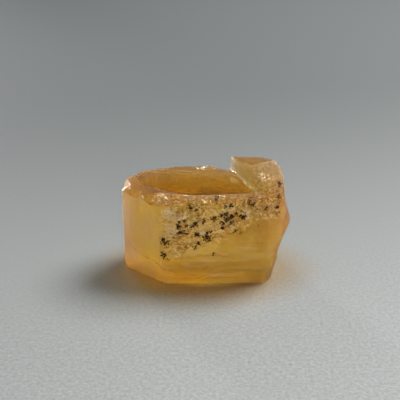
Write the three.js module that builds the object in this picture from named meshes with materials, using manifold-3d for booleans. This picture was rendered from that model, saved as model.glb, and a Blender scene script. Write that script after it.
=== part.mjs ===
// A rough crystal of imperial topaz, all one piece, in millimetres with +Z up.
//
// It is a short length of a lens-shaped prism whose long axis c stands upright. Topaz cleaves flat
// across c, so the top is a level cleavage floor, and a taller stub of the crystal is left standing at
// the right end. The prism faces carry fine upright growth ribs. Below and at both ends the stone
// broke away along uneven fractures, which meet as ledges and arrises.
//
// The crystal is grown as a ribbed prism and then broken. Each break takes away a wedge: the space
// that lies past one uneven plane, or past two or three at once, which leaves a ledge where they meet.
// The origin is the middle of the bounding box's base.
import * as THREE from "three";
import { mergeVertices } from "three/addons/utils/BufferGeometryUtils.js";
import { ImprovedNoise } from "three/addons/math/ImprovedNoise.js";
import Module from "manifold-3d";

const wasm = await Module();
wasm.setup();

// Driving dimensions.
const height = { floor: 11.12, rim: 11.36, stub: 13.2, bulge: 6.8, foot: 2.2 };
const front = -5.1; // the grown front face
const back = 4.95;
const tip = { left: -10.15, right: 10.35 };
const cell = 0.615; // edge length of the facets

// ---------------------------------------------------------------- uneven stone

const noise = new ImprovedNoise();

// Fractal unevenness at a point, between about -1 and 1; lumps is the size of its largest lumps.
function uneven(x, y, z, lumps) {
  let sum = 0;
  for (let octave = 0, size = lumps, share = 0.96; octave < 3; octave++) {
    sum += share * noise.noise(x / size + 7.3, y / size + 3.1 * octave, z / size + 11.7);
    size /= 2.1;
    share /= 1.9;
  }
  return sum;
}

// Turns a closed three.js geometry into a solid for joining and cutting.
function solidOf(geometry) {
  const bare = new THREE.BufferGeometry();
  bare.setAttribute("position", geometry.getAttribute("position"));
  bare.setIndex(geometry.getIndex());
  const merged = mergeVertices(bare, 1e-5);
  return new wasm.Manifold(
    new wasm.Mesh({
      numProp: 3,
      vertProperties: new Float32Array(merged.getAttribute("position").array),
      triVerts: new Uint32Array(merged.getIndex().array),
    }),
  );
}

// A closed solid from points [x, y, z, ...] and the corners of its triangles.
function solidFrom(positions, faces) {
  const geometry = new THREE.BufferGeometry();
  geometry.setAttribute("position", new THREE.Float32BufferAttribute(positions, 3));
  geometry.setIndex(faces);
  return solidOf(geometry);
}

// ---------------------------------------------------------------- the grown prism

// The corners of the prism's section, anticlockwise from the left end of the front face.
const section = [
  [-5.6, front],
  [7.1, front + 0.15],
  [8.9, -3.5],
  [tip.right, -0.9],
  [9.5, 1.2],
  [6.6, 3.5],
  [0.8, back],
  [-3.6, back - 0.1],
  [-7.6, 3.4],
  [-9.7, 1.2],
  [tip.left, -0.5],
  [-9.8, -1.6],
  [-7.9, -3.2],
];
const cornerReach = 0.7; // how far from a corner its rounding starts

// A closed outline through corners, with each corner rounded.
function roundedOutline(corners) {
  const points = corners.map(([x, y]) => new THREE.Vector2(x, y));
  const path = new THREE.Path();
  points.forEach((corner, i) => {
    const [start, end] = [points.at(i - 1), points[(i + 1) % points.length]].map((neighbour) => {
      const side = neighbour.clone().sub(corner);
      return corner.clone().add(side.setLength(Math.min(cornerReach, 0.48 * side.length())));
    });
    if (i === 0) path.moveTo(start.x, start.y);
    else path.lineTo(start.x, start.y);
    path.quadraticCurveTo(corner.x, corner.y, end.x, end.y);
  });
  path.closePath();
  return path;
}

// Upright growth ribs: how far the wall stands out at a distance along the section's outline.
const ribs = [
  { pitch: 2.9, out: 0.03 },
  { pitch: 1.7, out: 0.035 },
  { pitch: 1.15, out: 0.025 },
];
const ribbing = (along) =>
  ribs.reduce((out, rib, i) => out + rib.out * Math.sin((2 * Math.PI * along) / rib.pitch + i), 0);

// The etched crust on the front face, where the wall is rough.
const crust = { left: -6.2, right: 8.2, relief: 0.1, lumps: 1.5 };

// How far the wall stands out of the plain section at a point.
function wallRelief(x, y, z, along) {
  const onCrust = y < front + 0.6 && x > crust.left && x < crust.right;
  const rough = onCrust ? crust.relief * uneven(x, y, z, crust.lumps) : 0;
  return ribbing(along) + rough + 0.1 * uneven(x, y, z, 5);
}

// The prism as closed rings of the section, one above another.
function grownPrism() {
  const outline = roundedOutline(section);
  const length = outline.getLength();
  const around = Math.round(length / cell);
  const top = height.stub + cell;
  const levels = Math.round(top / cell);
  const ring = outline.getSpacedPoints(around).slice(0, around);
  const positions = [];
  for (let level = 0; level <= levels; level++) {
    const z = (level / levels) * top;
    ring.forEach((point, i) => {
      const tangent = ring[(i + 1) % around].clone().sub(ring.at(i - 1)).normalize();
      const out = wallRelief(point.x, point.y, z, (i / around) * length);
      positions.push(point.x + tangent.y * out, point.y - tangent.x * out, z);
    });
  }
  // The quads' diagonals alternate, so that the relief has no grain.
  const faces = [];
  for (let level = 0; level < levels; level++) {
    for (let i = 0; i < around; i++) {
      const a = level * around + i;
      const b = level * around + ((i + 1) % around);
      const c = b + around;
      const d = a + around;
      faces.push(...((level + i) % 2 ? [a, b, c, a, c, d] : [a, b, d, b, c, d]));
    }
  }
  const lid = levels * around;
  for (const [a, b, c] of THREE.ShapeUtils.triangulateShape(ring, [])) {
    faces.push(c, b, a, lid + a, lid + b, lid + c);
  }
  return solidFrom(positions, faces);
}

// ---------------------------------------------------------------- breaks

// All that lies past an uneven plane. through is a point on the plane and facing its outward
// direction; relief is the height of its unevenness and lumps their size.
function past({ through, facing, relief = 0.12, lumps = 2.6 }) {
  const width = 44;
  const depth = 16;
  const steps = Math.round(width / cell);
  const slab = new THREE.BoxGeometry(width, width, depth, steps, steps, 1);
  slab.translate(0, 0, depth / 2);
  const upright = new THREE.Vector3(0, 0, 1);
  const turn = new THREE.Quaternion().setFromUnitVectors(upright, new THREE.Vector3(...facing).normalize());
  const place = new THREE.Matrix4().makeRotationFromQuaternion(turn).setPosition(...through);
  const position = slab.getAttribute("position");
  const world = new THREE.Vector3();
  for (let i = 0; i < position.count; i++) {
    if (position.getZ(i) > depth / 2) continue;
    world.fromBufferAttribute(position, i).applyMatrix4(place);
    position.setZ(i, relief * uneven(world.x, world.y, world.z, lumps));
  }
  return solidOf(slab.applyMatrix4(place));
}

const wedge = (planes) => planes.map(past).reduce((common, next) => common.intersect(next));

// The plane of the rim, and the stub's broken wall in the three stretches that rise from it.
const rimPlane = { through: [-2, 0, height.rim], facing: [-0.005, -0.01, 1], relief: 0.09, lumps: 2.2 };
const stubWall = { through: [4.15, 1.5, 11.2], facing: [-0.92, -0.39, 0.04], relief: 0.09, lumps: 1.8 };
const stubCheek = { through: [5.4, -1.5, 11.2], facing: [-0.76, -0.6, 0.25], relief: 0.09, lumps: 1.8 };
const stubSlope = { through: [4.9, 0.3, 12.2], facing: [-0.66, -0.5, 0.58], relief: 0.1, lumps: 1.8 };

// Each break is the list of planes that bound what it takes away.
const breaks = {
  aboveRim: [rimPlane, stubWall],
  stubCheek: [rimPlane, stubCheek],
  stubSlope: [rimPlane, stubSlope],
  rimDip: [{ through: [1.2, 4.4, height.rim], facing: [0.25, 0.3, 1], relief: 0.06, lumps: 1.6 }, stubWall],
  leftEnd: [{ through: [-9.5, -0.5, height.rim], facing: [-0.68, -0.12, 0.72], relief: 0.08, lumps: 1.6 }],
  stubTop: [{ through: [6, 3.2, height.stub], facing: [-0.1, 0.03, 1], relief: 0.05, lumps: 3 }],
  stubBrow: [{ through: [6.5, 1.2, height.stub], facing: [0.03, -0.27, 0.96], relief: 0.08, lumps: 1.7 }],
  stubFront: [{ through: [7.0, -3.5, 12.0], facing: [0.3, -0.7, 0.64], relief: 0.1, lumps: 1.7 }],
  rightFront: [{ through: [7.5, -4.95, 8.6], facing: [0.32, -0.91, 0.26], relief: 0.06, lumps: 1.7 }],
  stubShoulder: [{ through: [9.0, -0.5, 12.4], facing: [0.75, -0.1, 0.66], relief: 0.05 }],
  upperRight: [
    { through: [9.5, -0.9, 9.3], facing: [1, -0.05, 0.1], relief: 0.06, lumps: 2.2 },
    { through: [tip.right, -0.9, height.bulge], facing: [1, -0.05, 0.35], relief: 0.06, lumps: 2.2 },
  ],
  lowerRight: [
    { through: [tip.right, -0.9, height.bulge], facing: [1, -0.2, -0.44], relief: 0.08 },
    { through: [9.15, -0.9, 4], facing: [1, -0.2, -0.26], relief: 0.08 },
    { through: [8.6, -0.9, 1], facing: [0.96, -0.26, 0], relief: 0.05 },
  ],
  leftFoot: [{ through: [-9.75, -0.9, 0], facing: [-0.85, -0.42, -0.3], relief: 0.05 }],
  footCorner: [{ through: [7.75, -3.75, 0], facing: [0.7, -0.68, -0.2], relief: 0.06 }],
  lowerFront: [
    { through: [0.4, front + 0.18, 6.05], facing: [0.01, -1, -0.01], relief: 0.06, lumps: 3 },
    { through: [0.4, front, 6.05], facing: [0.4, -0.2, -0.89], relief: 0.3, lumps: 2.4 },
  ],
  frontLedge: [
    { through: [4, front + 0.26, 4.5], facing: [0.03, -1, 0.01], relief: 0.04 },
    { through: [4, front + 0.26, 4.5], facing: [0.02, -0.5, -0.87], relief: 0.12 },
    { through: [0.6, front, 3], facing: [0.97, 0, -0.2], relief: 0.2 },
  ],
  frontFoot: [{ through: [1.5, front + 0.1, height.foot], facing: [0.02, -0.985, -0.16], relief: 0.05 }],
  lowerLeft: [{ through: [-7.25, -2.95, 0], facing: [-0.595, -0.8, -0.16], relief: 0.05 }],
  backFoot: [{ through: [-3, 4.5, 0.6], facing: [-0.2, 0.8, -0.6], relief: 0.2, lumps: 1.9 }],
  backStep: [
    { through: [2, back - 0.35, 5.5], facing: [0.12, 1, 0.03], relief: 0.12, lumps: 2 },
    { through: [2, back - 0.35, 5.5], facing: [-0.4, 0.35, -0.85], relief: 0.3, lumps: 2.2 },
  ],
  backLeftFoot: [{ through: [-8.8, 2.4, 1.2], facing: [-0.65, 0.6, -0.46], relief: 0.12, lumps: 2 }],
};

// The smooth cleavage floor: a shallow pocket inside the rim, with short sloping sides.
const pocketOutline = [
  [-8.4, 1.4],
  [-7.9, -0.8],
  [-6.7, -1.2],
  [-4.9, -2.4],
  [-3.1, -3.2],
  [-0.8, -3.5],
  [2.1, -3.3],
  [6.3, -2.6],
  [5.0, -0.8],
  [4.2, 1.2],
  [3.2, 2.4],
  [1.0, 2.3],
  [-2.0, 2.9],
  [-4.5, 3.2],
  [-7.0, 3.0],
];

function floorPocket() {
  const lid = height.rim + 1;
  const shape = new THREE.Shape(pocketOutline.map(([x, y]) => new THREE.Vector2(x, y)));
  const rim = shape.getSpacedPoints(Math.round(shape.getLength() / cell)).slice(0, -1);
  const count = rim.length;
  const centre = rim.reduce((sum, point) => sum.add(point), new THREE.Vector2()).divideScalar(count);
  const rings = 4;
  const level = (x, y) => height.floor + 0.04 * uneven(x, y, 0, 2.5);
  const positions = [centre.x, centre.y, level(centre.x, centre.y)];
  for (let ring = 1; ring <= rings; ring++) {
    for (const point of rim) {
      const { x, y } = point.clone().lerp(centre, 1 - ring / rings);
      positions.push(x, y, level(x, y));
    }
  }
  for (const point of rim) {
    const { x, y } = point.clone().lerp(centre, -0.2);
    positions.push(x, y, lid);
  }
  positions.push(centre.x, centre.y, lid);
  const faces = [];
  for (let i = 0; i < count; i++) {
    const next = (i + 1) % count;
    faces.push(0, 1 + next, 1 + i);
    for (let ring = 0; ring < rings; ring++) {
      const a = 1 + ring * count + i;
      const b = 1 + ring * count + next;
      faces.push(a, b, b + count, a, b + count, a + count);
    }
    const outer = 1 + rings * count;
    faces.push(outer + i, outer + next, outer + count);
  }
  return solidFrom(positions, faces);
}

// ---------------------------------------------------------------- pits

// Etch pits in the crust, in rows that climb to the right: [along x, up z, radius].
const pits = [
  [-5.2, 4.1, 0.4],
  [-4.8, 5.7, 0.5],
  [-2.8, 5.4, 0.35],
  [-1.4, 5.7, 0.4],
  [0.1, 6.7, 0.45],
  [-2.9, 7.4, 0.45],
  [-3.2, 8.5, 0.55],
  [-0.9, 7.4, 0.35],
  [-1.1, 8.6, 0.55],
  [0.7, 9.3, 0.4],
  [2.0, 9.2, 0.6],
  [2.6, 8.2, 0.45],
  [4.2, 9.2, 0.5],
  [-1.5, 10.2, 0.4],
  [2.4, 10.8, 0.4],
  [5.3, 10.7, 0.45],
  [6.4, 9.9, 0.35],
];

// An angular hollow about half as deep as its radius, longer along its row than across it.
function pit([x, z, radius]) {
  const hollow = new THREE.DodecahedronGeometry(radius);
  hollow.rotateY(5 * x);
  hollow.scale(1.6, 1, 0.95);
  hollow.rotateY(-0.45);
  hollow.translate(x, front - 0.4 * radius, z);
  return solidOf(mergeVertices(hollow.deleteAttribute("normal").deleteAttribute("uv"), 1e-4));
}

// ---------------------------------------------------------------- the crystal

function crystal() {
  let stone = grownPrism().subtract(floorPocket().intersect(past(stubWall)));
  for (const planes of Object.values(breaks)) stone = stone.subtract(wedge(planes));
  for (const one of pits) stone = stone.subtract(pit(one));
  const [largest] = stone.decompose().sort((a, b) => b.volume() - a.volume());
  const { vertProperties, triVerts } = largest.getMesh();
  const geometry = new THREE.BufferGeometry();
  geometry.setAttribute("position", new THREE.BufferAttribute(vertProperties, 3));
  geometry.setIndex(new THREE.BufferAttribute(triVerts, 1));
  geometry.computeBoundingBox();
  const { min, max } = geometry.boundingBox;
  geometry.translate(-(min.x + max.x) / 2, -(min.y + max.y) / 2, -min.z);
  geometry.computeVertexNormals();
  return geometry;
}

const topaz = new THREE.MeshStandardMaterial({ color: 0xc58a3c, roughness: 0.4, metalness: 0 });

const mesh = new THREE.Mesh(crystal(), topaz);
mesh.name = "topaz_crystal";

const group = new THREE.Group();
group.add(mesh);

export default group;
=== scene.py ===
import math

import bmesh
import bpy
import numpy as np
from mathutils import Matrix, Vector


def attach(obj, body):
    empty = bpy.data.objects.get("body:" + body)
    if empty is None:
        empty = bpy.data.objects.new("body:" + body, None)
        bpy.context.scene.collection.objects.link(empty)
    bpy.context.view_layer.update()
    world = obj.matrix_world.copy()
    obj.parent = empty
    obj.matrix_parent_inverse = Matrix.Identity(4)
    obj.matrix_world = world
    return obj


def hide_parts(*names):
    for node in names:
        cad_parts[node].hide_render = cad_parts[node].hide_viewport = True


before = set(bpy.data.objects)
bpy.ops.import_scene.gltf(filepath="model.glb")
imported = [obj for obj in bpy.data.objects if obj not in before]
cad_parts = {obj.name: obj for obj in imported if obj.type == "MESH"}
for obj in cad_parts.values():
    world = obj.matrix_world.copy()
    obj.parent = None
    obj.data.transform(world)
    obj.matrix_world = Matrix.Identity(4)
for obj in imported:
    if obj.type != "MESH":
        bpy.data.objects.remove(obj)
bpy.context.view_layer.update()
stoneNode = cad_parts["topaz_crystal"]
mm = 0.001  # the stone is worked on in millimetres and scaled to metres at the end


# node trees

def addNode(tree, kind, inputs=None, **settings):
    made = tree.nodes.new(kind)
    for name, value in settings.items():
        setattr(made, name, value)
    for key, value in (inputs or {}).items():
        plug(tree, value, made.inputs[key])
    return made


def plug(tree, value, socket):
    if isinstance(value, bpy.types.NodeSocket):
        tree.links.new(value, socket)
    else:
        socket.default_value = value


def calc(tree, operation, a, b=0.0, clamp=False):
    return addNode(tree, "ShaderNodeMath", {0: a, 1: b}, operation=operation, use_clamp=clamp).outputs[0]


def chained(tree, operation, parts):
    made = parts[0]
    for part in parts[1:]:
        made = calc(tree, operation, made, part)
    return made


def product(tree, *parts):
    return chained(tree, "MULTIPLY", parts)


def total(tree, *parts):
    return chained(tree, "ADD", parts)


def greatest(tree, *parts):
    return chained(tree, "MAXIMUM", parts)


def without(tree, value):  # what is left of 1
    return calc(tree, "SUBTRACT", 1.0, value, clamp=True)


def ramp(tree, value, start, end):  # 0 at start, 1 at end, eased
    inputs = {"Value": value, "From Min": start, "From Max": end}
    made = addNode(tree, "ShaderNodeMapRange", inputs, interpolation_type="SMOOTHSTEP")
    return made.outputs["Result"]


def vector(tree, operation, a, b=(0.0, 0.0, 0.0)):
    second = "Scale" if operation == "SCALE" else 1
    made = addNode(tree, "ShaderNodeVectorMath", {0: a, second: b}, operation=operation)
    return made.outputs["Value" if operation in ("DOT_PRODUCT", "LENGTH") else "Vector"]


def stretched(tree, point, scale):
    return vector(tree, "MULTIPLY", point, scale)


def split(tree, value):
    return addNode(tree, "ShaderNodeSeparateXYZ", {0: value}).outputs


# noise: lumps a millimetre (None where an input gives it), detail, roughness, squeeze along x, y and z
noises = {
    "ribs": (None, 3, 0.6, (1.0, 1.0, 0.06)),
    "ledges": (None, 3, 0.65, (0.12, 0.3, 1.0)),
    "crust edge": (0.6, 4, 0.6),
    "hard etched": (0.8, 2, 0.5),
    "crust swell": (1.1, 4, 0.6),
    "floor swell": (0.8, 1, 0.5, (0.5, 1.0, 1.0)),
    "stub grooves": (1.8, 3, 0.6, (1.0, 0.25, 0.25)),
    "oxide specks": (5.4, 4, 0.75, (0.85, 1.0, 1.1)),
    "oxide swarms": (1.9, 2, 0.5, (0.85, 1.0, 1.1)),
    "crust grains": (3.6, 4, 0.68, (0.85, 1.0, 1.0)),
    "low places": (0.35, 2, 0.5),
    "low bands": (1.3, 4, 0.68, (0.12, 0.3, 1.0)),
    "clouds": (0.55, 4, 0.6),
    "prick": (3.6, 2, 0.6),
    "lip": (0.9, 3, 0.6),
    "striae": (1.5, 4, 0.65, (2.4, 2.4, 0.14)),
    "rust": (0.75, 4, 0.65),
    "patches": (1.3, 4, 0.65),
    "sparks": (3.2, 2, 0.6),
    "spark swarms": (0.8, 2, 0.5),
    "polished": (3.0, 2, 0.6),
    "frosting": (4.0, 3, 0.6),
    "floor grain": (2600, 3, 0.7),
}


def lumps(tree, point, name, size=None):  # noise between about -0.5 and 0.5
    scale, detail, roughness, *squeeze = noises[name]
    if squeeze:
        point = stretched(tree, point, squeeze[0])
    if size:
        scale = calc(tree, "DIVIDE", 1.0, size)
    inputs = {"Vector": point, "Scale": scale, "Detail": detail, "Roughness": roughness}
    made = addNode(tree, "ShaderNodeTexNoise", inputs, normalize=True)
    return calc(tree, "SUBTRACT", made.outputs[0], 0.5)


# meshes

def newObject(name, data):
    made = bpy.data.objects.new(name, data)
    bpy.context.scene.collection.objects.link(made)
    return made


def evaluatedMesh(piece):
    graph = bpy.context.evaluated_depsgraph_get()
    graph.update()
    return bpy.data.meshes.new_from_object(piece.evaluated_get(graph))


def readArray(items, name, wide=1, kind=float):
    values = np.empty(len(items) * wide, kind)
    items.foreach_get(name, values)
    return values.reshape(-1, wide) if wide > 1 else values


def readPoints(mesh):
    return readArray(mesh.vertices, "co", 3)


def readNormals(mesh):
    return readArray(mesh.vertices, "normal", 3)


def readEnds(mesh):  # the two points of each edge
    return readArray(mesh.edges, "vertices", 2, np.int64)


def writePoints(mesh, points):
    mesh.vertices.foreach_set("co", points.ravel())
    mesh.update()


def storeValues(mesh, name, values):
    stored = mesh.attributes.new(name, "FLOAT", "POINT")
    stored.data.foreach_set("value", values.astype(np.float32))


def fade(values, start, end):  # 0 at start, 1 at end, straight between
    return np.clip((values - start) / (end - start), 0, 1)


def neighbourMean(values, ends):
    count = len(values)
    sums = np.bincount(ends[:, 0], values[ends[:, 1]], count)
    sums += np.bincount(ends[:, 1], values[ends[:, 0]], count)
    return sums / np.maximum(np.bincount(ends.ravel(), minlength=count), 1)


def neighbourMiddles(points, ends):
    return np.stack([neighbourMean(points[:, axis], ends) for axis in range(3)], axis=1)


def nearestPoint(points, target):
    return points[np.argmin(np.sum((points - target) ** 2, axis=1))]


# the stone's mesh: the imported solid, remeshed and with its facets melted into true faces

stone = {
    "voxel": 0.13,
    "melt": 0.30,  # faces that lean less than this apart flow together
    "meltRounds": 26,
    "fitRounds": 14,
    "softenRounds": 5,
    "ridge": (0.02, 0.08),  # how sharp an edge has to be to count, and to count in full
    "ridgeRounds": 3,
}

# the floor runs up to the far and left rim in a long gentle rise; each pair is where that fades in
farRim = {
    "behind": (0.5, 1.3),
    "leftOfStub": (3.0, 2.4),
    "leftEnd": (-6.4, -7.0),
    "leftEndBehind": (-1.6, -0.8),
    "level": (0.8, 0.9),
    "above": 11.0,
    "rounds": 160,
}

# the etched crust covers the front above a line that climbs to the right
crustArea = {
    "left": (-6.4, -3.6),
    "right": (8.8, 8.4),
    "edgeStart": (-5.75, 3.4),
    "edgeSlope": 0.44,
    "edgeTop": 8.7,
    "edgeWander": 4.0,
}
crustArea["edgeAtMiddle"] = crustArea["edgeStart"][1] - crustArea["edgeSlope"] * crustArea["edgeStart"][0]

# the part of the front that gets the finest mesh
fineArea = {"left": -7.2, "right": 9.0, "front": -2.4, "rim": 10.5, "belowCrust": 0.6}


def remeshedStone():
    mesh = stoneNode.data.copy()
    mesh.materials.clear()
    mesh.transform(Matrix.Scale(1 / mm, 4))
    merged = bmesh.new()
    merged.from_mesh(mesh)
    bmesh.ops.remove_doubles(merged, verts=merged.verts, dist=1e-3)
    merged.to_mesh(mesh)
    merged.free()
    blank = newObject("blank", mesh)
    remesh = blank.modifiers.new("remesh", "REMESH")
    remesh.mode = "VOXEL"
    remesh.voxel_size = stone["voxel"]
    made = evaluatedMesh(blank)
    bpy.data.objects.remove(blank)
    return made


def meltFacets(mesh):
    count = len(mesh.polygons)
    points = readPoints(mesh)
    corners = readArray(mesh.loops, "vertex_index", kind=np.int64)
    edges = readArray(mesh.loops, "edge_index", kind=np.int64)
    sizes = readArray(mesh.polygons, "loop_total", kind=np.int64)
    normals = readArray(mesh.polygons, "normal", 3)
    faceOf = np.repeat(np.arange(count), sizes)
    pairs = faceOf[np.argsort(edges, kind="stable")].reshape(-1, 2)  # the two faces at each edge
    left, right = pairs[:, 0], pairs[:, 1]
    for _ in range(stone["meltRounds"]):
        apart = np.sum((normals[left] - normals[right]) ** 2, axis=1)
        pull = np.exp(-apart / (2 * stone["melt"] ** 2))
        blended = normals.copy()
        for axis in range(3):
            blended[:, axis] += np.bincount(left, pull * normals[right, axis], count)
            blended[:, axis] += np.bincount(right, pull * normals[left, axis], count)
        normals = blended / np.linalg.norm(blended, axis=1)[:, None]
    valence = np.bincount(corners, minlength=len(points))
    for _ in range(stone["fitRounds"]):
        sums = [np.bincount(faceOf, points[corners, axis], count) for axis in range(3)]
        middles = np.stack(sums, axis=1) / sizes[:, None]
        ahead = np.sum(normals[faceOf] * (middles[faceOf] - points[corners]), axis=1)
        for axis in range(3):
            moves = np.bincount(corners, ahead * normals[faceOf, axis], len(points))
            points[:, axis] += moves / valence
    writePoints(mesh, points)


def softenCreases(mesh):  # real edges are a little worn; flat faces don't move, nor does the base
    points = readPoints(mesh)
    ends = readEnds(mesh)
    for _ in range(stone["softenRounds"]):
        points += 0.5 * (neighbourMiddles(points, ends) - points) * (points[:, 2:] > 0.1)
    writePoints(mesh, points)


def easeFarRim(mesh):
    points = readPoints(mesh)
    x, y, z = points.T
    ends = readEnds(mesh)
    facingUp = readNormals(mesh)[:, 2]
    far = fade(y, *farRim["behind"]) * fade(x, *farRim["leftOfStub"])
    left = fade(x, *farRim["leftEnd"]) * fade(y, *farRim["leftEndBehind"])
    loose = np.maximum(far, left) * fade(facingUp, *farRim["level"]) * (z > farRim["above"])
    for _ in range(farRim["rounds"]):
        points[:, 2] += 0.5 * loose * (neighbourMean(points[:, 2], ends) - points[:, 2])
    writePoints(mesh, points)


def storeRidges(mesh):  # 1 on the outer edges, 0 on flat faces
    points = readPoints(mesh)
    ends = readEnds(mesh)
    normals = readNormals(mesh)
    sharp = np.sum((points - neighbourMiddles(points, ends)) * normals, axis=1) / stone["voxel"]
    for _ in range(stone["ridgeRounds"]):
        sharp = 0.5 * sharp + 0.5 * neighbourMean(sharp, ends)
    storeValues(mesh, "ridge", fade(sharp, *stone["ridge"]))


def refineFront(mesh):  # the etched crust and the near rim carry the finest relief
    finer = bmesh.new()
    finer.from_mesh(mesh)
    chosen = set()
    for face in finer.faces:
        x, y, z = face.calc_center_median()
        edge = min(crustArea["edgeAtMiddle"] + crustArea["edgeSlope"] * x, crustArea["edgeTop"])
        across = fineArea["left"] < x < fineArea["right"] and y < fineArea["front"]
        if across and (z > edge - fineArea["belowCrust"] or z > fineArea["rim"]):
            chosen.update(face.edges)
    bmesh.ops.subdivide_edges(finer, edges=list(chosen), cuts=1, use_grid_fill=True)
    finer.to_mesh(mesh)
    finer.free()


# breakage: flat chips and shallow ledges, cut into the mesh

chips = [  # where on the surface, the way the flat faces, how far it reaches, how deep it bites
    ((-5.2, -3.6, 11.36), (0.16, -0.42, 0.9), 1.2, 0.16),
    ((-6.6, -3.7, 11.3), (-0.3, -0.65, 0.7), 1.2, 0.2),
    ((-9.6, 0.3, 11.1), (-0.75, -0.3, 0.6), 1.1, 0.15),
    ((-8.6, -2.3, 11.25), (-0.5, -0.55, 0.67), 1.2, 0.2),
    ((9.9, -1.2, 7.2), (0.9, -0.4, 0.1), 1.2, 0.1),
]
nearChips = {"seed": 11, "count": 70, "reach": (0.3, 0.6), "bite": (0.03, 0.1)}
farChips = {"seed": 5, "count": 26, "reach": (0.35, 0.7), "bite": (0.02, 0.06)}
rimChips = {"height": 11.45, "lean": (0.6, 1.4), "spread": 0.25}
# a bruise on the far rim, of a few chips close together
bruise = {
    "seed": 21,
    "count": 9,
    "centre": (-0.3, 4.2, 11.42),
    "scatter": (0.6, 0.18, 0.03),
    "facing": (0.15, -0.35, 0.93),
    "spread": 0.12,
    "reach": (0.35, 0.65),
    "bite": (0.02, 0.05),
}
# the edge where the top meets the grown faces, seen from above
rimLine = [
    (-9.9, -0.4), (-8.9, -2.3), (-7.2, -3.4), (-5.4, -4.6), (-2.0, -4.95), (2.0, -4.9), (5.5, -4.75),
    (7.3, -4.2), (8.3, -3.4),
]
backLine = [(-9.7, 1.2), (-7.7, 3.4), (-3.7, 4.8), (0.7, 4.9), (3.6, 4.2)]

# growth steps on the front: a line of x and z points, the drop below it and how far that fades
growthSteps = [
    (
        [(-9.9, 5.6), (-9.4, 4.4), (-8.8, 3.7), (-7.8, 3.1), (-6.2, 2.8), (-4.9, 2.3), (-3.6, 2.2)],
        0.16, 1.6,
    ),
    ([(-4.2, 3.9), (-2.2, 4.0), (0.6, 4.35), (2.4, 4.2), (5.0, 4.5)], -0.07, 0.5),
    ([(-1.6, 3.2), (1.0, 3.45), (3.4, 3.3), (6.9, 3.6)], 0.08, 0.6),
    ([(-3.4, 2.6), (-0.6, 2.5), (2.6, 2.7)], -0.06, 0.4),
    ([(0.8, 2.1), (3.6, 2.25), (7.2, 2.1)], 0.07, 0.5),
    ([(-5.4, 1.3), (-2.2, 1.1), (1.4, 1.2), (4.8, 1.05)], -0.05, 0.5),
    ([(2.2, 5.6), (5.1, 5.9), (7.4, 5.7)], 0.06, 0.7),
]
stepShape = {
    "front": (-0.25, -0.5),  # on the faces that lean this far to the front
    "foot": (0.0, 0.5),  # the base stays flat
    "wobble": ((0.06, 5.1, 0.0), (0.04, 11.7, 2.0)),  # height, waves a millimetre, shift
    "taper": 0.9,  # how long its ends are
    "riser": 0.16,  # how wide the drop is
    "lip": (0.04, 0.13, 1.0),  # place, width and strength of the painted highlight line
    "shade": (-0.22, 0.15, 0.9),  # and of the painted shade line below it
    "fullDrop": 0.1,
}


def flatten(points, centre, facing, reach, bite):  # planes off what stands past a tilted flat
    facing = np.array(facing) / np.linalg.norm(facing)
    away = points - centre
    share = np.linalg.norm(away, axis=1) / reach
    near = share < 1
    proud = np.clip(away[near] @ facing + bite, 0, None) * fade(share[near], 1.0, 0.7)
    points[near] -= proud[:, None] * facing


def alongLine(line, share):  # the point at a share of the line's length, and the way out from it
    spans = [math.dist(a, b) for a, b in zip(line, line[1:])]
    left = share * sum(spans)
    for (ax, ay), (bx, by), span in zip(line, line[1:], spans):
        if left <= span:
            x, y = ax + (bx - ax) * left / span, ay + (by - ay) * left / span
            return x, y, (by - ay) / span, (ax - bx) / span
        left -= span
    return line[-1] + (0.0, -1.0)


def bell(values, place, width, strength):
    return strength * np.exp(-(((values + place) / width) ** 2))


def raiseSteps(mesh):
    points = readPoints(mesh)
    normals = readNormals(mesh)
    lip = np.zeros(len(points))
    onFront = fade(normals[:, 1], *stepShape["front"]) * fade(points[:, 2], *stepShape["foot"])
    for line, drop, length in growthSteps:
        lineX, lineZ = zip(*line)
        wobble = sum(size * np.sin(points[:, 0] * rate + shift) for size, rate, shift in stepShape["wobble"])
        below = np.interp(points[:, 0], lineX, lineZ) + wobble - points[:, 2]
        ends = fade(points[:, 0], lineX[0], lineX[0] + stepShape["taper"])
        ends *= fade(points[:, 0], lineX[-1], lineX[-1] - stepShape["taper"])
        sunk = fade(below, 0, stepShape["riser"]) * np.exp(-np.clip(below, 0, None) / length)
        points -= (drop * sunk * ends * onFront)[:, None] * normals
        # a painted highlight line along each step and a painted shade line below it
        edge = bell(below, *stepShape["lip"]) - bell(below, *stepShape["shade"])
        edge *= ends * onFront * min(1, abs(drop) / stepShape["fullDrop"])
        lip = np.where(np.abs(edge) > np.abs(lip), edge, lip)
    writePoints(mesh, points)
    storeValues(mesh, "lip", lip)


def breakEdges(mesh):
    points = readPoints(mesh)
    for where, facing, reach, bite in chips:
        flatten(points, nearestPoint(points, where), facing, reach, bite)
    dice = np.random.default_rng(bruise["seed"])
    for _ in range(bruise["count"]):
        target = bruise["centre"] + dice.normal(0, bruise["scatter"])
        facing = bruise["facing"] + dice.normal(0, bruise["spread"], 3)
        nearest = nearestPoint(points, target)
        flatten(points, nearest, facing, dice.uniform(*bruise["reach"]), dice.uniform(*bruise["bite"]))
    for line, outward, small in ((rimLine, 1.0, nearChips), (backLine, -1.0, farChips)):
        dice = np.random.default_rng(small["seed"])
        for _ in range(small["count"]):
            x, y, outX, outY = alongLine(line, dice.uniform())
            nearest = nearestPoint(points, (x, y, rimChips["height"]))
            facing = (outX * outward, outY * outward, dice.uniform(*rimChips["lean"]))
            facing += dice.normal(0, rimChips["spread"], 3)
            flatten(points, nearest, facing, dice.uniform(*small["reach"]), dice.uniform(*small["bite"]))
    writePoints(mesh, points)


# where the oxide, the colours and the smooth floor lie

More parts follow.
